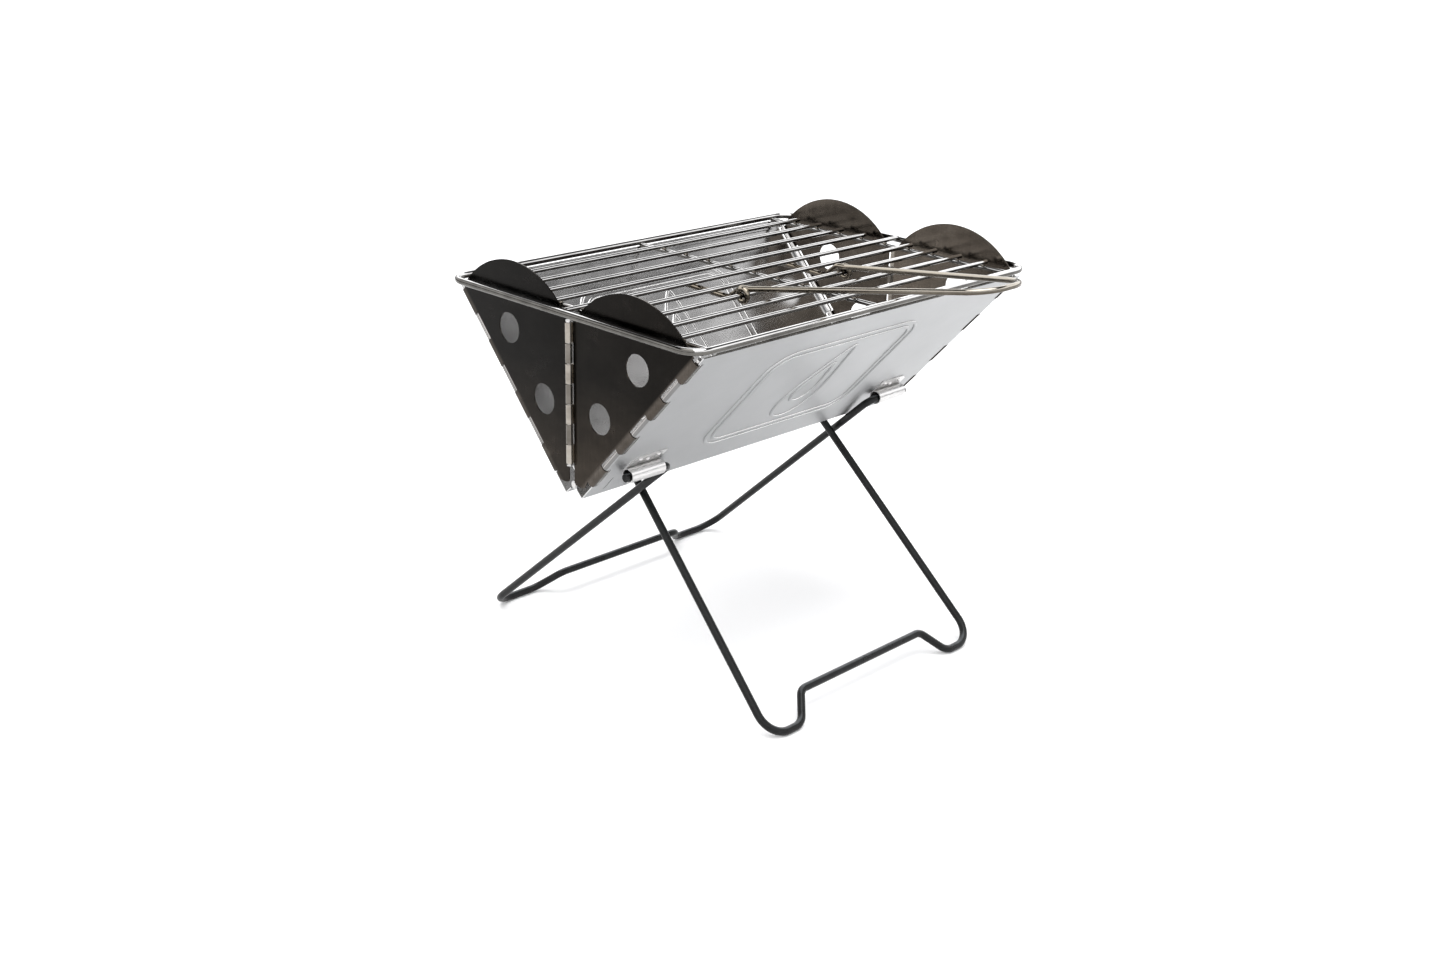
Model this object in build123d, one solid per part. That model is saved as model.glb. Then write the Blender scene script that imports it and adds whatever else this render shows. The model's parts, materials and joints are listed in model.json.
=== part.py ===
"""Folding camp grill: a sheet-steel V firebox on two crossed wire leg frames, with a wire
cooking grate and a wire lifting handle.

Millimetres, +Z up. X runs across the V, Y along the bottom hinge. The origin is on the
ground at the middle of the grill. "Near" is +X, "far" is -X, "left" is -Y and "right" is +Y.
"""

import os
from math import acos, cos, degrees, radians, sin, tan

from build123d import *

# Firebox
HINGE_HEIGHT = 156.2  # bottom hinge axis above the ground
OPENING_HALF_ANGLE = 42.4  # each side panel from vertical, degrees
FLAP_DEPTH = 11.0  # hinge axis to the middle of a side panel, square to the panel
PANEL_SLANT = 167.0  # side panel from its bottom bend to its top edge
PANEL_LENGTH = 322.0
SHEET = 0.8
HEM = 7.0  # width of the top edge folded flat onto the inside
HEM_END_GAP = 12.0  # plain sheet left at each end of the hem
BEND_RADIUS = 1.2
SLIT = {"y": 146.0, "low": 7.0, "high": 21.5, "width": 0.8}  # relief slits beside the brackets

# Bottom hinge
BOTTOM_PIN_RADIUS = 2.0
BOTTOM_KNUCKLES = 9
FLAP_GAP = 1.2  # between the bottom knuckles and the edge of the bent flap
WEB_LAP = 1.0  # how far a knuckle's web runs into its sheet
RUNNING_CLEARANCE = 0.05
KNUCKLE_GAP = 0.6
CUT = 1.0  # how far a cutting shape runs past what it cuts

# Upright hinges in the middle of each end, and sloping hinges at its corners
PIN_RADIUS = 1.5
KNUCKLE_BORE = PIN_RADIUS + RUNNING_CLEARANCE
KNUCKLE_RADIUS = KNUCKLE_BORE + SHEET
MIDDLE_KNUCKLES = 7
MIDDLE_HINGE_BOTTOM = 172.5
MIDDLE_HINGE_TOP = 269.5
CORNER_PIN_Y = PANEL_LENGTH / 2 - 1.0
CORNER_PIN_START = 16.0  # along the panel, from its bottom bend
CORNER_PIN_END = 160.0
CORNER_PIN_TRIM = 1.0  # the pin starts this far inside its lowest knuckle
CORNER_PIN_PROUD = 3.0  # and ends this far past its highest
WINDOW_GAP = 0.5  # between a hook and the window cut for it in the side panel
PIN_HEAD_LIP = 0.5
PIN_HEAD_THICKNESS = 0.8
PIN_HEAD_REACH = 1.0  # middle of a pin head beyond the end knuckle
CORNER_KNUCKLES = 7
CORNER_CLEARANCE = 0.35  # loose fit of the corner pins in the end leaves' hooks

# End leaves
LEAF_BOTTOM = 157.5
LEAF_TOP = 270.5
LEAF_HOLE_RADIUS = 10.6
LEAF_HOLES = [(64.0, 251.5), (28.0, 210.2)]  # x and z of the two vent holes
LOBE_MIDDLE_X = 58.9
LOBE_RADIUS = 68.1
LOBE_TOP = 298.3
LEAF_EDGE_GAP = 0.4  # between a leaf's sloping edge and the side panel's knuckles
LEAF_HINGE_GAP = 0.45  # between a leaf's upright edge and the middle knuckles
LEAF_FOOT_WIDTH = 3.0  # how far the foot runs out past the sloping edge
LEAF_FOOT_HEIGHT = 9.0
LEAF_FOOT_ROUND = 2.6
HOOK_MOUTH = 0.6  # depth of the hooks below the corner pin's axis
TONGUE_LAP = 1.6  # how far a hook's tongue runs past the knuckle radius into the leaf

# Grate
GRATE_HEIGHT = 276.0  # centre of the frame wire
GRATE_HALF_LENGTH = 169.2
GRATE_HALF_WIDTH = 120.4
GRATE_CORNER = 14.0
FRAME_WIRE = 2.4  # wire radii from here on
ROD_WIRE = 1.7
ROD_COUNT = 9
ROD_PITCH = 23.3
ROD_END_Y = 156.0
CROSSBAR_Y = [-151.5, 6.7, 151.5]
CROSSBAR_DROP = 1.8  # cross wires below the frame wire's centre; the rods lie on them
WELD_DEPTH = 0.9  # how far a wire end sinks into the frame wire at its weld

# Handle
HANDLE_WIRE = 2.0
HANDLE_ROD_X = 2 * ROD_PITCH
HANDLE_HALF_SPREAD = 48.5
HANDLE_TIP_X = 222.0
HANDLE_TIP_HALF_WIDTH = 21.0
HANDLE_RISE = 9.1  # degrees above the grate
HANDLE_TAIL_END_X = -11.0
HANDLE_TUCK_X = ROD_PITCH + 7.0  # where the wire starts to climb over its rod
HANDLE_DROP_BACK = 4.6  # from the rod back to the top of the climb
HANDLE_KNEE_AHEAD = 3.0  # from the rod ahead to the start of the straight arm
HANDLE_CROWN = 0.2  # the wire dips and rises this much either side of the rod's top
TAIL_SINK = 0.1  # tail below the underside of the rods' grip
TUCK_SINK = 1.1
HANDLE_BENDS = [6.0, 4.5, 3.0, 20.0]  # from the tail to the tip
COIL_OFFSET = 3.4  # outward from the arm
ROD_GRIP_GAP = 0.35

# Leg frames
LEG_WIRE = 2.85
LEG_PIVOT_SLANT = 30.0  # pivot along the panel, from its bottom bend
LEG_PIVOT_OFFSET = 6.65  # pivot out from the middle of the panel sheet, low in the bracket's bore
INNER_LEG = {"reach": 239.0, "top_y": 95.5, "foot_y": 111.0, "step_y": 80.0}
OUTER_LEG = {"reach": 245.6, "top_y": 104.0, "foot_y": 119.5, "step_y": 76.5}
LEG_STEP = 21.0  # how far the middle of the foot bar is raised
LEG_STEP_LEAN = 15.0
LEG_TOP_BEND = 7.0
LEG_FOOT_BEND = 17.0
LEG_STEP_BENDS = [12.0, 8.5]  # foot of the step, top of the step
LEG_PIN_END_Y = 145.0

# Leg brackets
BRACKET_START_Y = 112.0
BRACKET_LENGTH = 30.0
BRACKET_RADIUS = 5.2
BRACKET_SHEET = 0.8
BRACKET_TAB = 15.0
BRACKET_CHAMFER = (6.0, 4.0)  # cut off the tab's outer corner, along and up
RIVET_RADIUS = 1.6
RIVET_FLATTEN = 0.6
RIVET_PLACES = [(6.0, 11.0), (22.0, 11.0), (14.0, 8.0)]  # along the tab, up from the barrel

HALF_ANGLE = radians(OPENING_HALF_ANGLE)
BEND_X = FLAP_DEPTH * cos(HALF_ANGLE)
BEND_Z = HINGE_HEIGHT - FLAP_DEPTH * sin(HALF_ANGLE)
BARREL_OFFSET = KNUCKLE_RADIUS - SHEET / 2  # pin axis to the middle of the sheet
HOOK_BORE = PIN_RADIUS + CORNER_CLEARANCE
HOOK_RADIUS = HOOK_BORE + SHEET
LEAF_Y = CORNER_PIN_Y + HOOK_BORE + SHEET / 2  # middle of the end leaves' sheet
MIDDLE_PIN_Y = LEAF_Y + BARREL_OFFSET
CROSSBAR_Z = GRATE_HEIGHT - CROSSBAR_DROP
ROD_Z = CROSSBAR_Z + 2 * ROD_WIRE
PIVOT_X = BEND_X + LEG_PIVOT_SLANT * sin(HALF_ANGLE) + LEG_PIVOT_OFFSET * cos(HALF_ANGLE)
PIVOT_Z = BEND_Z + LEG_PIVOT_SLANT * cos(HALF_ANGLE) - LEG_PIVOT_OFFSET * sin(HALF_ANGLE)


def write(node, shape):
    export_step(shape, f"parts/{node}.step")


def block(x, y, z):
    """A box given by its lowest and highest value on each axis."""
    size = [high - low for low, high in (x, y, z)]
    middle = [(high + low) / 2 for low, high in (x, y, z)]
    return Pos(*middle) * Box(*size)


def rod(start, end, radius):
    """A round bar between two points."""
    along = Vector(*end) - Vector(*start)
    place = Plane(origin=start, z_dir=along)
    return extrude(place * Circle(radius), along.length)


def bent_wire(points, radii, wire):
    """A round wire along straight runs joined by arcs."""
    path = FilletPolyline(*points, radius=radii)
    section = Plane(origin=path @ 0, z_dir=path % 0) * Circle(wire)
    return sweep(section, path=path)


def tilted(shape):
    """Carry a shape from the upright panel frame, centred on the hinge axis, to the open grill."""
    return Pos(0, 0, HINGE_HEIGHT) * Rot(0, OPENING_HALF_ANGLE, 0) * shape


def spans(start, end, count):
    """Equal stretches between two values, with half the knuckle gap taken off each end."""
    pitch = (end - start) / count
    gap = KNUCKLE_GAP / 2
    return [(start + i * pitch + gap, start + (i + 1) * pitch - gap) for i in range(count)]


def ring_along_z(outer, inner, low, high):
    tube = Cylinder(outer, high - low) - Cylinder(inner, high - low + 2)
    return Pos(0, 0, (low + high) / 2) * tube


def ring_along_y(outer, inner, low, high):
    tube = Rot(90, 0, 0) * (Cylinder(outer, high - low) - Cylinder(inner, high - low + 2))
    return Pos(0, (low + high) / 2, 0) * tube


def corner_spans():
    """Knuckles of the sloping hinges, along the panel; even ones belong to the end leaves."""
    return spans(CORNER_PIN_START, CORNER_PIN_END, CORNER_KNUCKLES)


def side_panel(knuckle_parity):
    """One side panel, upright, with X square to it, its bottom bend at Z = 0."""
    half = PANEL_LENGTH / 2
    face = FLAP_DEPTH
    sheet = block((face - SHEET / 2, face + SHEET / 2), (-half, half), (-SHEET / 2, PANEL_SLANT))
    flap_edge = BOTTOM_PIN_RADIUS + SHEET + FLAP_GAP
    flap = block((flap_edge, face), (-half, half), (-SHEET / 2, SHEET / 2))
    panel = sheet + flap
    outer_bend = panel.edges().filter_by(Axis.Y).sort_by_distance((face + 1, 0, -1))[0]
    panel = fillet(outer_bend, BEND_RADIUS)
    hem_low = PANEL_SLANT - HEM
    hem_half = half - HEM_END_GAP
    hem = block((face - 1.5 * SHEET, face), (-hem_half, hem_half), (hem_low, PANEL_SLANT))
    panel += hem
    for side in (-1, 1):
        slit_y = (side * SLIT["y"] - SLIT["width"] / 2, side * SLIT["y"] + SLIT["width"] / 2)
        panel -= block((face - CUT, face + CUT), slit_y, (SLIT["low"], SLIT["high"]))

    outer = BOTTOM_PIN_RADIUS + RUNNING_CLEARANCE + SHEET
    bore = BOTTOM_PIN_RADIUS + RUNNING_CLEARANCE
    for i, (low, high) in enumerate(spans(-half, half, BOTTOM_KNUCKLES)):
        if i % 2 == knuckle_parity:
            web = block((bore + SHEET / 4, flap_edge + WEB_LAP), (low, high), (-SHEET / 2, SHEET / 2))
            panel += ring_along_y(outer, bore, low, high) + web

    pin_x = face - BARREL_OFFSET
    for side in (-1, 1):
        window_y = sorted((side * (CORNER_PIN_Y - HOOK_RADIUS - WINDOW_GAP), side * (half + CUT)))
        trim_y = sorted((side * CORNER_PIN_Y, side * (half + CUT)))
        for low, high in corner_spans()[0::2]:
            window_z = (low - KNUCKLE_GAP, high + KNUCKLE_GAP)
            panel -= block((face - HOOK_RADIUS, face + HOOK_RADIUS), window_y, window_z)
        for low, high in corner_spans()[1::2]:
            panel -= block((face - CUT, face + CUT), trim_y, (low - CUT, high + CUT))
            barrel = ring_along_z(KNUCKLE_RADIUS, PIN_RADIUS, low, high)
            panel += Pos(pin_x, side * CORNER_PIN_Y, 0) * barrel
    return panel


def end_leaf(knuckle_parity):
    """The near half of the right end, upright, with its sheet centred on Y = 0."""
    slope = tan(HALF_ANGLE)
    edge_offset = (BARREL_OFFSET + KNUCKLE_RADIUS + LEAF_EDGE_GAP) / cos(HALF_ANGLE)

    def edge_x(z):
        return BEND_X + (z - BEND_Z) * slope - edge_offset

    inner = KNUCKLE_RADIUS + LEAF_HINGE_GAP
    foot_top = LEAF_BOTTOM + LEAF_FOOT_HEIGHT
    corners = [
        (inner, LEAF_BOTTOM),
        (edge_x(LEAF_BOTTOM) + LEAF_FOOT_WIDTH, LEAF_BOTTOM),
        (edge_x(foot_top), foot_top),
        (edge_x(LEAF_TOP), LEAF_TOP),
        (inner, LEAF_TOP),
    ]
    outline = make_face(Polyline(*corners, close=True))
    low_corners = outline.vertices().filter_by(lambda v: v.Y < LEAF_BOTTOM + 1)
    outline = fillet(low_corners, LEAF_FOOT_ROUND)
    lobe = Pos(LOBE_MIDDLE_X, LOBE_TOP - LOBE_RADIUS) * Circle(LOBE_RADIUS)
    above = Pos(LOBE_MIDDLE_X, LEAF_TOP + LOBE_RADIUS) * Rectangle(4 * LOBE_RADIUS, 2 * LOBE_RADIUS)
    outline += lobe & above
    for x, z in LEAF_HOLES:
        outline -= Pos(x, z) * Circle(LEAF_HOLE_RADIUS)
    leaf = extrude(Plane.XZ * outline, SHEET / 2, both=True)

    for i, (low, high) in enumerate(spans(MIDDLE_HINGE_BOTTOM, MIDDLE_HINGE_TOP, MIDDLE_KNUCKLES)):
        if i % 2 == knuckle_parity:
            barrel = ring_along_z(KNUCKLE_RADIUS, KNUCKLE_BORE, low, high)
            web = block((0, inner + WEB_LAP), (-SHEET / 2, SHEET / 2), (low, high))
            leaf += Pos(0, BARREL_OFFSET, 0) * barrel + web

    hook = Circle(HOOK_RADIUS) - Circle(HOOK_BORE)
    hook -= Pos(-HOOK_RADIUS, 0) * Rectangle(2 * HOOK_RADIUS, 4 * HOOK_RADIUS)
    hook -= Pos(0, -HOOK_RADIUS - HOOK_MOUTH) * Rectangle(4 * HOOK_RADIUS, 2 * HOOK_RADIUS)
    reach = KNUCKLE_RADIUS + TONGUE_LAP
    tongue = Pos(-reach / 2, HOOK_BORE + SHEET / 2) * Rectangle(reach, SHEET)
    profile = hook + tongue
    for i, (low, high) in enumerate(corner_spans()):
        if i % 2 == 0:
            finger = Pos(0, 0, low) * extrude(profile, high - low)
            local = Pos(FLAP_DEPTH - BARREL_OFFSET, CORNER_PIN_Y - LEAF_Y, 0) * finger
            leaf += tilted(local)
    return leaf


def corner_pin():
    """A plain sloping hinge pin at the near right corner."""
    x = FLAP_DEPTH - BARREL_OFFSET
    low, high = CORNER_PIN_START + CORNER_PIN_TRIM, CORNER_PIN_END + CORNER_PIN_PROUD
    pin = Pos(x, CORNER_PIN_Y, (low + high) / 2) * Cylinder(PIN_RADIUS, high - low)
    return tilted(pin)


def middle_pin():
    low, high = MIDDLE_HINGE_BOTTOM - PIN_HEAD_REACH, MIDDLE_HINGE_TOP + PIN_HEAD_REACH
    shank = Pos(0, MIDDLE_PIN_Y, (low + high) / 2) * Cylinder(PIN_RADIUS, high - low)
    head = Cylinder(PIN_RADIUS + PIN_HEAD_LIP, PIN_HEAD_THICKNESS)
    heads = [Pos(0, MIDDLE_PIN_Y, z) * head for z in (low, high)]
    return shank + heads


def leg_frame(reach, top_y, foot_y, step_y):
    """A leg frame lying in the YZ plane, its pivot axis on Y and its feet at Z = -reach."""
    low = -reach
    half = [
        (0, LEG_PIN_END_Y, 0),
        (0, top_y, 0),
        (0, foot_y, low),
        (0, step_y, low),
        (0, step_y - LEG_STEP_LEAN, low + LEG_STEP),
    ]
    bends = [LEG_TOP_BEND, LEG_FOOT_BEND, *LEG_STEP_BENDS]
    other = [(x, -y, z) for x, y, z in reversed(half)]
    return bent_wire(half + other, bends + bends[::-1], LEG_WIRE)


def leg_angle(reach):
    """Lean of a leg frame from vertical that puts its feet on the ground, in degrees."""
    return degrees(acos((PIVOT_Z - LEG_WIRE) / reach))


def leg_bracket():
    """A rolled barrel with a riveted tab, on the near panel's outer face at the right."""
    length = BRACKET_LENGTH
    chamfer_along, chamfer_up = BRACKET_CHAMFER
    barrel = ring_along_y(BRACKET_RADIUS, BRACKET_RADIUS - BRACKET_SHEET, 0, length)
    tab_outline = make_face(
        Polyline(
            (0, 0),
            (length, 0),
            (length, BRACKET_TAB - chamfer_up),
            (length - chamfer_along, BRACKET_TAB),
            (0, BRACKET_TAB),
            close=True,
        )
    )
    tab = Pos(-BRACKET_RADIUS, 0, 0) * extrude(Plane.YZ * tab_outline, BRACKET_SHEET)
    bore_shape = Rot(90, 0, 0) * Cylinder(BRACKET_RADIUS - BRACKET_SHEET, length + 2 * CUT)
    bore = Pos(0, length / 2, 0) * bore_shape
    bracket = barrel + (tab - bore)
    x = FLAP_DEPTH + SHEET / 2 + BRACKET_RADIUS
    return tilted(Pos(x, BRACKET_START_Y, LEG_PIVOT_SLANT) * bracket)


def bracket_rivets():
    """The three rivet heads of that bracket."""
    x = FLAP_DEPTH + SHEET / 2 + BRACKET_SHEET
    rivets = []
    for along, up in RIVET_PLACES:
        head = Sphere(RIVET_RADIUS) & Pos(RIVET_RADIUS, 0, 0) * Box(*[2 * RIVET_RADIUS] * 3)
        head = scale(head, (RIVET_FLATTEN, 1, 1))
        place = Pos(x, BRACKET_START_Y + along, LEG_PIVOT_SLANT + up)
        rivets.append(tilted(place * head))
    return rivets


def grate_frame():
    """The rounded rectangle of heavy wire round the grate."""
    outline = RectangleRounded(2 * GRATE_HALF_WIDTH, 2 * GRATE_HALF_LENGTH, GRATE_CORNER)
    path = Pos(0, 0, GRATE_HEIGHT) * outline.wire()
    section = Plane(origin=path @ 0, z_dir=path % 0) * Circle(FRAME_WIRE)
    return sweep(section, path=path)


def handle():
    """Wishbone of bright wire, coiled round the grate's third rod and tucked under the next two."""
    rise = tan(radians(HANDLE_RISE))
    grip = ROD_WIRE + ROD_GRIP_GAP + HANDLE_WIRE
    spread = HANDLE_HALF_SPREAD
    tail = (HANDLE_TAIL_END_X, spread, ROD_Z - grip - TAIL_SINK)
    tuck = (HANDLE_TUCK_X, spread, ROD_Z - grip - TUCK_SINK)
    drop = (HANDLE_ROD_X - HANDLE_DROP_BACK, spread, ROD_Z + grip - HANDLE_CROWN)
    knee = (HANDLE_ROD_X + HANDLE_KNEE_AHEAD, spread, ROD_Z + grip + HANDLE_CROWN)
    tip_z = knee[2] + (HANDLE_TIP_X - knee[0]) * rise
    tip = (HANDLE_TIP_X, HANDLE_TIP_HALF_WIDTH, tip_z)
    half = [tail, tuck, drop, knee, tip]
    other = [(x, -y, z) for x, y, z in reversed(half)]
    wire = bent_wire(half + other, HANDLE_BENDS + HANDLE_BENDS[::-1], HANDLE_WIRE)
    for side in (-1, 1):
        coil = Rot(90, 0, 0) * Torus(grip, HANDLE_WIRE)
        wire += Pos(HANDLE_ROD_X, side * (spread + COIL_OFFSET), ROD_Z) * coil
    return wire


def main():
    os.makedirs("parts", exist_ok=True)
    half = PANEL_LENGTH / 2
    bottom_pin = rod((0, -half, HINGE_HEIGHT), (0, half, HINGE_HEIGHT), BOTTOM_PIN_RADIUS)
    write("bottom_hinge_pin", bottom_pin)
    write("side_panel_near", tilted(side_panel(0)))
    write("side_panel_far", mirror(tilted(side_panel(1)), Plane.YZ))

    leaf = Pos(0, LEAF_Y, 0) * end_leaf(0)
    other_leaf = mirror(Pos(0, LEAF_Y, 0) * end_leaf(1), Plane.YZ)
    pin = corner_pin()
    bracket = leg_bracket()
    rivets = bracket_rivets()
    for end, flip_end in (("right", False), ("left", True)):
        write(f"end_leaf_{end}_near", mirror(leaf, Plane.XZ) if flip_end else leaf)
        write(f"end_leaf_{end}_far", mirror(other_leaf, Plane.XZ) if flip_end else other_leaf)
        middle = middle_pin()
        write(f"middle_hinge_pin_{end}", mirror(middle, Plane.XZ) if flip_end else middle)
        for side, flip_side in (("near", False), ("far", True)):
            pieces = {"corner_hinge_pin": pin, "leg_bracket": bracket}
            pieces["bracket_rivets"] = Compound(children=rivets)
            for name, piece in pieces.items():
                placed = mirror(piece, Plane.XZ) if flip_end else piece
                placed = mirror(placed, Plane.YZ) if flip_side else placed
                write(f"{name}_{end}_{side}", placed)

    inner = Rot(0, -leg_angle(INNER_LEG["reach"]), 0) * leg_frame(**INNER_LEG)
    outer = Rot(0, leg_angle(OUTER_LEG["reach"]), 0) * leg_frame(**OUTER_LEG)
    write("leg_frame_inner", Pos(-PIVOT_X, 0, PIVOT_Z) * inner)
    write("leg_frame_outer", Pos(PIVOT_X, 0, PIVOT_Z) * outer)

    write("grate_frame", grate_frame())
    middle_rod = (ROD_COUNT + 1) // 2
    for number in range(1, ROD_COUNT + 1):
        x = (number - middle_rod) * ROD_PITCH
        end_y = GRATE_HALF_LENGTH - FRAME_WIRE + WELD_DEPTH if number == middle_rod else ROD_END_Y
        write(f"grate_rod_{number}", rod((x, -end_y, ROD_Z), (x, end_y, ROD_Z), ROD_WIRE))
    for name, y in zip(("left", "middle", "right"), CROSSBAR_Y):
        end_x = GRATE_HALF_WIDTH - FRAME_WIRE + WELD_DEPTH
        ends = [(side * end_x, y, CROSSBAR_Z) for side in (-1, 1)]
        write(f"grate_crossbar_{name}", rod(*ends, ROD_WIRE))
    write("lifting_handle", handle())


main()
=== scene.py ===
"""Looks of the folding camp grill: materials, pressed badges, weld nuggets, studio and camera."""

import json
from math import cos, pi, radians, sin

import bmesh
import bpy
from mathutils import Matrix, Vector


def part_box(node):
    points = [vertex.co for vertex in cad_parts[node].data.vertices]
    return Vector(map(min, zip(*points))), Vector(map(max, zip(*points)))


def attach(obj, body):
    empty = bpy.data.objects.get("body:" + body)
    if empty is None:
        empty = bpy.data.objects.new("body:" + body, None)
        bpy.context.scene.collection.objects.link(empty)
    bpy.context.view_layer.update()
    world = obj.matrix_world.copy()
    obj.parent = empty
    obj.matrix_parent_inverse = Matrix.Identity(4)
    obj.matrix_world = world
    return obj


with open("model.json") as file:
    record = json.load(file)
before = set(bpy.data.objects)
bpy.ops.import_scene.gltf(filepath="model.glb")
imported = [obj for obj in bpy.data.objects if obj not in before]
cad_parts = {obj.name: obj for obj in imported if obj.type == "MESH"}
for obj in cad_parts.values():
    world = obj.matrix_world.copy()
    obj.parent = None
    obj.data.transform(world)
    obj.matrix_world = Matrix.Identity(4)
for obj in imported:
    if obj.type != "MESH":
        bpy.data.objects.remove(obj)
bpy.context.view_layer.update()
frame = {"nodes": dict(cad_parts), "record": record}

NODES = frame["nodes"]
MM = 0.001

# Parts of the grill and stretches of them
ROD_COUNT = 9
CROSSBARS = ("left", "middle", "right")
KNUCKLE_HALF_WIDTH = 2.45 * MM
ROLLED_EDGE = (5.0 * MM, 7.5 * MM)  # from the bottom hinge, square to the side panel
REFLECTION_TO_SHADE_HEIGHTS = (165 * MM, 235 * MM)  # heights between which the end leaves turn from a lighter, warmer painted reflection at the foot to painted shade near the top
PAINTED_SHADE_ENDS = 166 * MM  # wire further than this from the middle gets painted shade nearly all round, with a thin painted highlight left on top
EDGE_BLUR = 0.4 * MM  # width over which one tone turns into the next beside a plane
TURN_BLUR = 0.02  # of a leaf's facing times its place along Y, where its outside meets its inside

# Welds on the grate
WELD_LENGTH = 2.6 * MM  # half sizes
WELD_WIDTH = 1.5 * MM
WELD_HEIGHT = 1.1 * MM
WELD_WAIST = 0.18  # share by which a nugget narrows at its middle
WELD_SUBDIVISIONS = 3

# Badge pressed into both side panels: a round-cornered plate outline around a flame
OPENING_HALF_ANGLE = radians(42.4)  # each side panel from vertical
PANEL_OUTSIDE = 11.4 * MM  # panel's faces from the bottom hinge, square to the panel
PANEL_INSIDE = 10.6 * MM
PANEL_HALF_LENGTH = 161 * MM  # to the root of the knuckles
BADGE_SLANT = 84 * MM  # badge's middle along the panel from its bottom bend
BADGE_HALF_LENGTH = 75 * MM
BADGE_HALF_HEIGHT = 56 * MM
BADGE_CORNER = 20 * MM
BADGE_RIM_GAP = 6 * MM
BADGE_CORNER_STEPS = 8  # straight pieces in each round corner
FLAME_SIZES = (34 * MM, 18 * MM)
FLAME_LEAN = 0.35
FLAME_STEPS = 64
FLAME_WIDTH = 0.8  # against its size
FLAME_STRETCH = 1.25  # upwards, against its size
FLAME_TAPER = (0.62, 0.38)  # width at half height, and how much it changes to the foot and the tip
BEAD_HALF_WIDTH = 1.5 * MM
BEAD_HEIGHT = 1.1 * MM
BEAD_ROOT = 0.1 * MM  # how far a bead's foot is sunk in the sheet
BEAD_STEPS = 6  # straight pieces over a bead's back
INSIDE_BEAD_SHARE = 0.45  # height of the beads inside, against those outside

# Studio
FLOOR_HALF_WIDTH = 30.0
SKY_BANDS = (  # height of a direction, from the horizon at 0 to the zenith at 1, and brightness there
    (0.0, 0.12),
    (0.14, 0.07),
    (0.22, 1.8),
    (0.58, 1.8),
    (0.68, 0.06),
    (0.86, 0.06),
    (0.93, 1.7),
)
SKY_BLUENESS = 1.01
SKY_STRENGTH = 1.1
SUN_ENERGY = 2.2
SUN_SPREAD = radians(70)
SUN_TILT = (radians(12), radians(8), 0)

# Camera
CAMERA_PLACE = Vector((0.77352, -0.80743, 0.55033))
CAMERA_YAW = radians(-44.466)
CAMERA_PITCH = radians(-21.078)
CAMERA_ROLL = radians(1.497)
CAMERA_SENSOR = 36.0
CAMERA_LENS = 40.17


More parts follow.
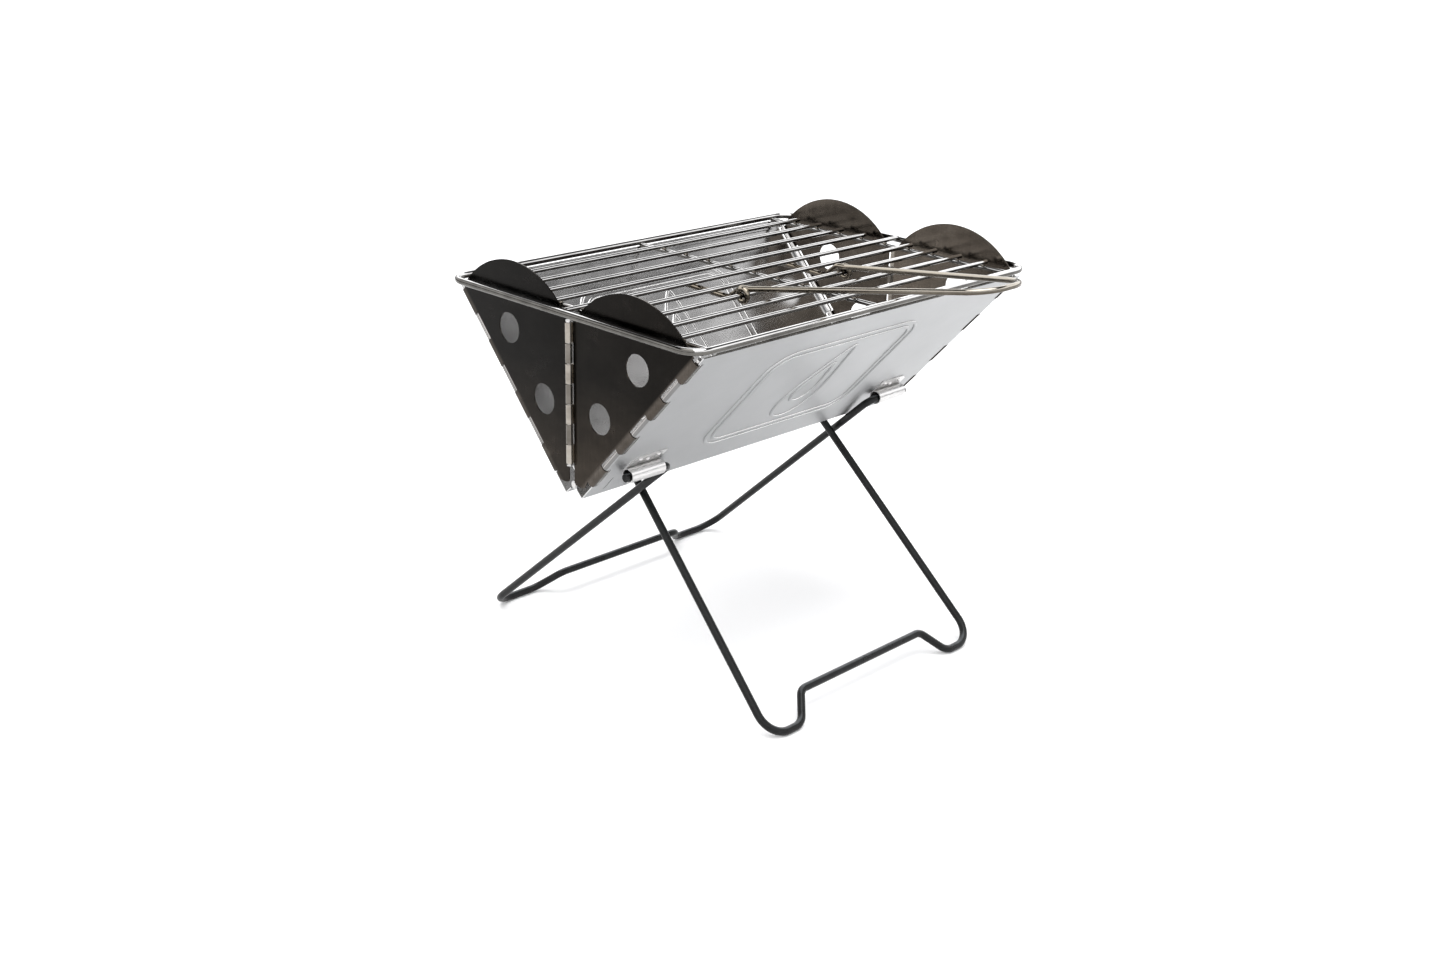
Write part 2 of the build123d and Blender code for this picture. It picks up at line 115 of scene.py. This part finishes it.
class Nodes:
    """Short calls for building a material's node tree."""

    def __init__(self, name):
        self.material = bpy.data.materials.new(name)
        self.material.use_nodes = True
        self.tree = self.material.node_tree
        self.shader = self.tree.nodes["Principled BSDF"]

    def add(self, kind, **values):
        node = self.tree.nodes.new(kind)
        for key, value in values.items():
            if key in node.inputs:
                node.inputs[key].default_value = value
            else:
                setattr(node, key, value)
        return node

    def link(self, source, target):
        self.tree.links.new(source, target)

    def noise(self, stretch, scale, detail=4.0, roughness=0.6):
        """Noise in the object's own frame, stretched along each axis by stretch."""
        place = self.add("ShaderNodeTexCoord").outputs["Object"]
        mapping = self.add("ShaderNodeMapping")
        mapping.inputs["Scale"].default_value = stretch
        self.link(place, mapping.inputs["Vector"])
        noise = self.add("ShaderNodeTexNoise", Scale=scale, Detail=detail, Roughness=roughness)
        self.link(mapping.outputs["Vector"], noise.inputs["Vector"])
        return noise.outputs["Fac"]

    def ramp(self, value, stops):
        """A colour ramp; stops are (position, colour)."""
        ramp = self.add("ShaderNodeValToRGB")
        elements = ramp.color_ramp.elements
        while len(elements) < len(stops):
            elements.new(0.5)
        for element, (position, colour) in zip(elements, stops):
            element.position = position
            element.color = (*colour, 1.0)
        self.link(value, ramp.inputs["Fac"])
        return ramp.outputs["Color"]

    def remap(self, value, low, high, start=0.3, end=0.7):
        remap = self.add("ShaderNodeMapRange")
        remap.inputs["From Min"].default_value = start
        remap.inputs["From Max"].default_value = end
        remap.inputs["To Min"].default_value = low
        remap.inputs["To Max"].default_value = high
        self.link(value, remap.inputs["Value"])
        return remap.outputs["Result"]

    def blend(self, kind, first, second):
        """Two colours multiplied or added."""
        mix = self.add("ShaderNodeMix", data_type="RGBA", blend_type=kind)
        mix.inputs[0].default_value = 1.0
        self.link(first, mix.inputs[6])
        self.link(second, mix.inputs[7])
        return mix.outputs[2]

    def facing_up(self, start=-0.05, end=0.05):
        """1 on faces that look up in the object's own frame, 0 on faces that look down."""
        return self.remap(self.part_of("Normal", "Z"), 0.0, 1.0, start, end)

    def facing_in(self):
        """1 on faces that look towards the plane Y = 0, 0 on faces that look away from it."""
        product = self.add("ShaderNodeMath", operation="MULTIPLY")
        self.link(self.part_of("Object", "Y"), product.inputs[0])
        self.link(self.part_of("Normal", "Y"), product.inputs[1])
        return self.remap(product.outputs[0], 1.0, 0.0, -TURN_BLUR, TURN_BLUR)

    def part_of(self, name, axis):
        """One axis of the place (Object) or of the facing (Normal), in the object's own frame."""
        split = self.add("ShaderNodeSeparateXYZ")
        self.link(self.add("ShaderNodeTexCoord").outputs[name], split.inputs["Vector"])
        return split.outputs[axis]

    def near_plane(self, axis, half_width):
        """1 within half_width of the plane through the origin square to axis, 0 outside it."""
        away = self.add("ShaderNodeMath", operation="ABSOLUTE")
        self.link(self.part_of("Object", axis), away.inputs[0])
        return self.remap(away.outputs[0], 1.0, 0.0, half_width, half_width + EDGE_BLUR)

    def beside_panels(self):
        """1 in the strips of the end leaves that lie against the side panels, 0 further in."""
        across = self.add("ShaderNodeMath", operation="ABSOLUTE")
        self.link(self.part_of("Object", "X"), across.inputs[0])
        square = self.add("ShaderNodeMath", operation="MULTIPLY_ADD")
        square.inputs[1].default_value = cos(OPENING_HALF_ANGLE)
        square.inputs[2].default_value = middle_of("bottom_hinge_pin").z * sin(OPENING_HALF_ANGLE)
        self.link(across.outputs[0], square.inputs[0])
        away = self.add("ShaderNodeMath", operation="MULTIPLY_ADD")
        away.inputs[1].default_value = -sin(OPENING_HALF_ANGLE)
        self.link(self.part_of("Object", "Z"), away.inputs[0])
        self.link(square.outputs[0], away.inputs[2])
        return self.remap(away.outputs[0], 0.0, 1.0, *ROLLED_EDGE)

    def mix(self, share, first, second, kind="RGBA"):
        """first where share is 0, second where it is 1."""
        mix = self.add("ShaderNodeMix", data_type=kind)
        place = {"RGBA": 6, "FLOAT": 2}[kind]
        self.link(share, mix.inputs[0])
        self.link(first, mix.inputs[place])
        self.link(second, mix.inputs[place + 1])
        return mix.outputs[{"RGBA": 2, "FLOAT": 0}[kind]]

    def bump(self, height, strength, distance):
        bump = self.add("ShaderNodeBump", Strength=strength, Distance=distance)
        self.link(height, bump.inputs["Height"])
        self.link(bump.outputs["Normal"], self.shader.inputs["Normal"])

    def set(self, **values):
        for key, value in values.items():
            self.shader.inputs[key.replace("_", " ")].default_value = value

    def colour(self, socket):
        self.link(socket, self.shader.inputs["Base Color"])

    def rough(self, socket):
        self.link(socket, self.shader.inputs["Roughness"])


def grey(value, warmth=0.0):
    return (value * (1 + warmth), value, value * (1 - warmth))


def satin_steel():
    """Fine lengthwise brushing outside, a polish inside, cloudy variation, darker knuckles."""
    m = Nodes("satin_steel")
    m.set(Metallic=1.0)
    grain = m.noise((90, 1.6, 90), 26, 6)
    cloud = m.noise((1, 1, 1), 14, 3)
    outside = m.ramp(grain, [(0.25, grey(0.36, -0.012)), (0.75, grey(0.45, -0.012))])
    inside = m.ramp(cloud, [(0.3, grey(0.58, 0.01)), (0.7, grey(0.78, 0.01))])
    tone = m.ramp(cloud, [(0.3, grey(0.90)), (0.7, grey(1.0))])
    knuckle = m.ramp(cloud, [(0.3, grey(0.40, 0.03)), (0.7, grey(0.52, 0.03))])
    # Faces that look up get the polished inside finish; on the outside beads' upper slopes this also paints
    # bright highlight lines.
    up = m.facing_up()
    sheet = m.mix(m.near_plane("Y", PANEL_HALF_LENGTH), knuckle, tone)
    m.colour(m.blend("MULTIPLY", m.mix(up, outside, inside), sheet))
    m.rough(m.mix(up, m.remap(grain, 0.36, 0.50), m.remap(cloud, 0.16, 0.24), "FLOAT"))
    m.bump(grain, 0.03, 0.00002)
    return m.material


def dark_steel(name="dark_steel", knuckle_shade_factor=1.0, sheet_shade_factor=1.0):
    """Dark near-mirror steel with upright grain, smudges, fine scratches and rubbed knuckles; painted
    reflection at the foot of the leaves and painted shade towards their top, a lighter tone on faces that
    look inward, and factors that darken sheet and knuckles into painted shade.
    """
    m = Nodes(name)
    m.set(Metallic=1.0)
    grain = m.noise((60, 60, 2.2), 22, 6)
    smudge = m.noise((1, 1, 1.6), 34, 5, 0.7)
    scratch = m.noise((14, 14, 120), 9, 8)
    stops = (0.30, 0.62, 0.80)
    dark = ((0.008, 0.0066, 0.0052), (0.013, 0.0108, 0.0086), (0.026, 0.022, 0.018))
    # Lighter, warmer tones for the faces that look inward, towards the middle.
    other_face_tones = ((0.10, 0.084, 0.068), (0.17, 0.146, 0.122), (0.26, 0.228, 0.196))
    height = m.part_of("Object", "Z")
    # Painted reflection: lighter and warmer at the foot of the leaves; painted shade: darker towards their
    # top.
    height_reflection_and_shade = m.ramp(m.remap(height, 0.0, 1.0, *REFLECTION_TO_SHADE_HEIGHTS), [(0.0, (2.6, 2.45, 2.3)), (1.0, grey(0.55))])
    outer = m.blend("MULTIPLY", m.ramp(smudge, list(zip(stops, dark))), height_reflection_and_shade)
    edge = ((0.050, 0.042, 0.035), (0.085, 0.073, 0.062), (0.15, 0.13, 0.11))
    inner = m.ramp(smudge, list(zip(stops, other_face_tones)))
    # The sheet shade factor darkens the whole sheet, as painted shade on the far leaves.
    fine = m.ramp(grain, [(0.3, grey(0.74 * sheet_shade_factor)), (0.7, grey(sheet_shade_factor))])
    bright = m.ramp(scratch, [(0.70, grey(0.0)), (0.78, grey(0.03))])
    rolled = m.ramp(smudge, list(zip(stops, edge)))
    face = m.mix(m.beside_panels(), m.mix(m.facing_in(), outer, inner), rolled)
    sheet = m.blend("ADD", m.blend("MULTIPLY", face, fine), bright)
    tones = ((0.20, 0.18, 0.155), (0.40, 0.37, 0.33))
    # The knuckle shade factor darkens the rubbed knuckles, as painted shade on the far leaves.
    rubbed_shades = [tuple(knuckle_shade_factor * part for part in tone) for tone in tones]
    rubbed = m.ramp(smudge, list(zip((0.3, 0.7), rubbed_shades)))
    m.colour(m.mix(m.near_plane("X", KNUCKLE_HALF_WIDTH), sheet, rubbed))
    m.rough(m.remap(smudge, 0.12, 0.30))
    m.bump(grain, 0.06, 0.00005)
    return m.material


def bracket_steel():
    m = Nodes("bracket_steel")
    m.set(Metallic=1.0)
    grain = m.noise((40, 3, 40), 40, 5)
    m.colour(m.ramp(grain, [(0.3, grey(0.50, 0.01)), (0.7, grey(0.68, 0.01))]))
    m.rough(m.remap(grain, 0.24, 0.38))
    m.bump(grain, 0.12, 0.00005)
    return m.material


def black_wire():
    """Satin black coating: slight orange peel, and a painted grey highlight along its upper side."""
    m = Nodes("black_wire")
    m.set(Metallic=0.0, Specular_IOR_Level=0.22)
    peel = m.noise((1, 1, 1), 900, 2)
    coat_noise = m.noise((1, 1, 1), 120, 6, 0.7)
    coat = m.ramp(coat_noise, [(0.5, (0.0035, 0.0038, 0.004)), (0.72, (0.012, 0.013, 0.0135))])
    # Painted highlight: a lighter grey on faces that look nearly straight up.
    painted_highlight_tones = m.ramp(coat_noise, [(0.3, (0.05, 0.053, 0.055)), (0.7, (0.11, 0.115, 0.12))])
    m.colour(m.mix(m.facing_up(0.80, 0.97), coat, painted_highlight_tones))
    m.rough(m.remap(coat_noise, 0.24, 0.38))
    m.bump(peel, 0.18, 0.00004)
    return m.material


def bright_wire():
    """Polished wire with faint drawing lines along it, painted shade on its underside and nearly all round
    at the ends, where only a thin painted highlight stays along the top.
    """
    m = Nodes("bright_wire")
    m.set(Metallic=1.0)
    drawn = m.noise((120, 3, 120), 18, 4)
    film = m.noise((1, 1, 1), 60, 4)
    upper_face_tones = m.ramp(film, [(0.3, grey(0.62, 0.012)), (0.7, grey(0.80, 0.008))])
    # Painted shade: dark tones for the underside, and near the ends for all but the top strip.
    other_face_tones = m.ramp(film, [(0.3, (0.055, 0.052, 0.048)), (0.7, (0.13, 0.125, 0.115))])
    # Near the ends only this top strip keeps the lighter tone, as a painted highlight.
    top = m.facing_up(0.86, 0.98)
    upper = m.facing_up(0.05, 0.75)
    m.colour(m.mix(m.mix(m.near_plane("Y", PAINTED_SHADE_ENDS), top, upper, "FLOAT"), other_face_tones, upper_face_tones))
    m.rough(m.remap(drawn, 0.05, 0.12))
    return m.material


def handle_wire():
    """Polished wire with a faint straw heat tint, deeper near the hooks, and painted shade on its
    underside.
    """
    m = Nodes("handle_wire")
    m.set(Metallic=1.0)
    low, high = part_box("lifting_handle")
    along = m.remap(m.part_of("Object", "X"), 0.0, 1.0, low[0], high[0])
    tints = ((0.26, 0.22, 0.17), (0.33, 0.295, 0.24), (0.42, 0.39, 0.34))
    heat = m.ramp(along, list(zip((0.0, 0.35, 1.0), tints)))
    film = m.noise((1, 1, 1), 70, 4)
    upper_face_tones = m.blend("MULTIPLY", heat, m.ramp(film, [(0.3, grey(0.86)), (0.7, grey(1.0))]))
    # Painted shade: darker tones for faces that look down.
    other_face_tones = m.ramp(film, [(0.3, (0.07, 0.060, 0.047)), (0.7, (0.12, 0.105, 0.085))])
    m.colour(m.mix(m.facing_up(-0.1, 0.6), other_face_tones, upper_face_tones))
    m.rough(m.remap(film, 0.11, 0.22))
    return m.material


def hinge_pin_steel():
    m = Nodes("hinge_pin_steel")
    m.set(Metallic=1.0)
    film = m.noise((1, 1, 1), 160, 4)
    m.colour(m.ramp(film, [(0.3, grey(0.42, 0.02)), (0.7, grey(0.60, 0.015))]))
    m.rough(m.remap(film, 0.18, 0.34))
    return m.material


def weld_steel():
    """Heat-darkened resistance welds."""
    m = Nodes("weld_steel")
    m.set(Metallic=1.0)
    burn = m.noise((1, 1, 1), 420, 4)
    m.colour(m.ramp(burn, [(0.35, (0.13, 0.11, 0.09)), (0.65, (0.42, 0.38, 0.33))]))
    m.rough(m.remap(burn, 0.28, 0.5))
    m.bump(burn, 0.3, 0.0001)
    return m.material


def paint_frame():
    """Every CAD node gets the material of its slot in the record, except the far end leaves, which get a
    copy of dark steel darkened into painted shade.
    """
    makers = (satin_steel, dark_steel, bracket_steel, black_wire, bright_wire, handle_wire, hinge_pin_steel)
    looks = {maker.__name__: maker() for maker in makers}
    # Copy for the far end leaves: sheet and knuckles darkened as painted shade.
    shaded_steel = dark_steel("dark_steel_shaded", knuckle_shade_factor=0.5, sheet_shade_factor=0.62)
    for part in frame["record"]["subparts"]:
        node = part["node"]
        mesh = NODES[node].data
        mesh.materials.clear()
        far_leaf = node.startswith("end_leaf") and node.endswith("far")
        mesh.materials.append(shaded_steel if far_leaf else looks[part["material_slot"]])
    return looks


def mesh_piece(name, shape, material, body):
    """A finished bmesh as a smooth piece that rides on a body."""
    bmesh.ops.recalc_face_normals(shape, faces=shape.faces)
    mesh = bpy.data.meshes.new(name)
    shape.to_mesh(mesh)
    shape.free()
    for face in mesh.polygons:
        face.use_smooth = True
    mesh.materials.append(material)
    piece = bpy.data.objects.new(name, mesh)
    bpy.context.scene.collection.objects.link(piece)
    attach(piece, body)
    return piece


def middle_of(node):
    low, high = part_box(node)
    return (Vector(low) + Vector(high)) / 2


def add_nugget(shape, place):
    """A squashed weld nugget, narrowest at its waist."""
    made = bmesh.ops.create_icosphere(shape, subdivisions=WELD_SUBDIVISIONS, radius=1.0)
    for vert in made["verts"]:
        x, y, z = vert.co
        waist = 1 - WELD_WAIST * (1 - z * z)
        vert.co = place + Vector((x * WELD_WIDTH * waist, y * WELD_LENGTH * waist, z * WELD_HEIGHT))


def grate_welds(material):
    """A nugget wherever a rod lies on a cross wire."""
    shape = bmesh.new()
    for bar in CROSSBARS:
        cross = middle_of(f"grate_crossbar_{bar}")
        for number in range(1, ROD_COUNT + 1):
            rod = middle_of(f"grate_rod_{number}")
            add_nugget(shape, Vector((rod.x, cross.y, (rod.z + cross.z) / 2)))
    return mesh_piece("grate_welds", shape, material, "grate")


def panel_point(side, inside, along, up, out):
    """A point on a panel's face: along the hinge, up the slant, proud of the face by out."""
    hinge = middle_of("bottom_hinge_pin")
    across = Vector((side * cos(OPENING_HALF_ANGLE), 0, -sin(OPENING_HALF_ANGLE)))
    slant = Vector((side * sin(OPENING_HALF_ANGLE), 0, cos(OPENING_HALF_ANGLE)))
    reach = PANEL_INSIDE - out * INSIDE_BEAD_SHARE if inside else PANEL_OUTSIDE + out
    return hinge + across * reach + slant * up + Vector((0, along, 0))


def add_bead(shape, outline, side, inside):
    """A closed pressed bead with a rounded back, along a closed outline of (along, up)."""
    count = len(outline)
    turns = [pi * i / BEAD_STEPS for i in range(BEAD_STEPS + 1)]
    profile = [(cos(turn), sin(turn)) for turn in turns]
    rings = []
    for i, spot in enumerate(outline):
        before = Vector(outline[i - 1])
        after = Vector(outline[(i + 1) % count])
        way = (after - before).normalized()
        sideways = Vector((-way.y, way.x))
        ring = []
        for across, height in profile:
            along, up = Vector(spot) + sideways * across * BEAD_HALF_WIDTH
            out = height * BEAD_HEIGHT - BEAD_ROOT
            ring.append(shape.verts.new(panel_point(side, inside, along, up, out)))
        rings.append(ring)
    for i in range(count):
        here, there = rings[i], rings[(i + 1) % count]
        for j in range(len(profile)):
            k = (j + 1) % len(profile)
            shape.faces.new((here[j], there[j], there[k], here[k]))


def rounded_outline(half_length, half_height, corner):
    """A rectangle with round corners, as points along the panel and up its slant."""
    points = []
    for quarter in range(4):
        middle_x = (half_length - corner) * (1 if quarter in (0, 3) else -1)
        middle_y = (half_height - corner) * (1 if quarter in (0, 1) else -1)
        for step in range(BADGE_CORNER_STEPS + 1):
            angle = pi / 2 * (quarter + step / BADGE_CORNER_STEPS)
            points.append((middle_x + corner * cos(angle), BADGE_SLANT + middle_y + corner * sin(angle)))
    return points


def flame_outline(size):
    """A leaning drop: round at the foot, pointed at the top."""
    points = []
    waist, taper = FLAME_TAPER
    for i in range(FLAME_STEPS):
        angle = 2 * pi * i / FLAME_STEPS
        height = -cos(angle)
        body = FLAME_WIDTH * sin(angle) * (waist - taper * height)
        swing = FLAME_LEAN * (height + 1) ** 2 / 4
        points.append((size * (body + swing), BADGE_SLANT + size * FLAME_STRETCH * height))
    return points


def badge(material, name, body, side):
    """Two nested plate outlines round two nested flames, on both faces of a panel."""
    shape = bmesh.new()
    plate = (BADGE_HALF_LENGTH, BADGE_HALF_HEIGHT, BADGE_CORNER)
    outlines = [rounded_outline(*plate), rounded_outline(*(size - BADGE_RIM_GAP for size in plate))]
    outlines += [flame_outline(size) for size in FLAME_SIZES]
    for inside in (False, True):
        for outline in outlines:
            add_bead(shape, outline, side, inside)
    return mesh_piece(name, shape, material, body)


def floor():
    mesh = bpy.data.meshes.new("floor")
    half = FLOOR_HALF_WIDTH
    corners = [(-half, -half, 0), (half, -half, 0), (half, half, 0), (-half, half, 0)]
    mesh.from_pydata(corners, [], [(0, 1, 2, 3)])
    m = Nodes("floor")
    m.set(Base_Color=(0.93, 0.93, 0.93, 1), Roughness=0.9)
    mesh.materials.append(m.material)
    sheet = bpy.data.objects.new("floor", mesh)
    bpy.context.scene.collection.objects.link(sheet)


def studio():
    """Bright bands of sky with darker gaps between them, which give round wires their contrast."""
    world = bpy.data.worlds.new("studio")
    bpy.context.scene.world = world
    world.use_nodes = True
    tree = world.node_tree
    place = tree.nodes.new("ShaderNodeTexCoord")
    split = tree.nodes.new("ShaderNodeSeparateXYZ")
    ramp = tree.nodes.new("ShaderNodeValToRGB")
    tree.links.new(place.outputs["Generated"], split.inputs["Vector"])
    tree.links.new(split.outputs["Z"], ramp.inputs["Fac"])
    tree.links.new(ramp.outputs["Color"], tree.nodes["Background"].inputs["Color"])
    elements = ramp.color_ramp.elements
    while len(elements) < len(SKY_BANDS):
        elements.new(0.5)
    for element, (position, value) in zip(elements, SKY_BANDS):
        element.position = position
        element.color = (value, value, value * SKY_BLUENESS, 1)
    tree.nodes["Background"].inputs["Strength"].default_value = SKY_STRENGTH
    sun = bpy.data.lights.new("soft_sun", "SUN")
    sun.energy = SUN_ENERGY
    sun.angle = SUN_SPREAD
    lamp = bpy.data.objects.new("soft_sun", sun)
    lamp.rotation_euler = SUN_TILT
    bpy.context.scene.collection.objects.link(lamp)


def camera():
    forward = Vector(
        (cos(CAMERA_PITCH) * sin(CAMERA_YAW), cos(CAMERA_PITCH) * cos(CAMERA_YAW), sin(CAMERA_PITCH))
    )
    level = Vector((cos(CAMERA_YAW), -sin(CAMERA_YAW), 0))
    upright = level.cross(forward)
    right = level * cos(CAMERA_ROLL) + upright * sin(CAMERA_ROLL)
    up = upright * cos(CAMERA_ROLL) - level * sin(CAMERA_ROLL)
    data = bpy.data.cameras.new("camera")
    data.sensor_width = CAMERA_SENSOR
    data.lens = CAMERA_LENS
    eye = bpy.data.objects.new("camera", data)
    turn = Matrix((right, up, -forward)).transposed().to_4x4()
    eye.matrix_world = Matrix.Translation(CAMERA_PLACE) @ turn
    bpy.context.scene.collection.objects.link(eye)
    bpy.context.scene.camera = eye


looks = paint_frame()
grate_welds(weld_steel())
badge(looks["satin_steel"], "pressed_flame_badge_near", "near_side", 1)
badge(looks["satin_steel"], "pressed_flame_badge_far", "far_side", -1)
floor()
studio()
camera()
bpy.context.scene.view_settings.view_transform = "Standard"
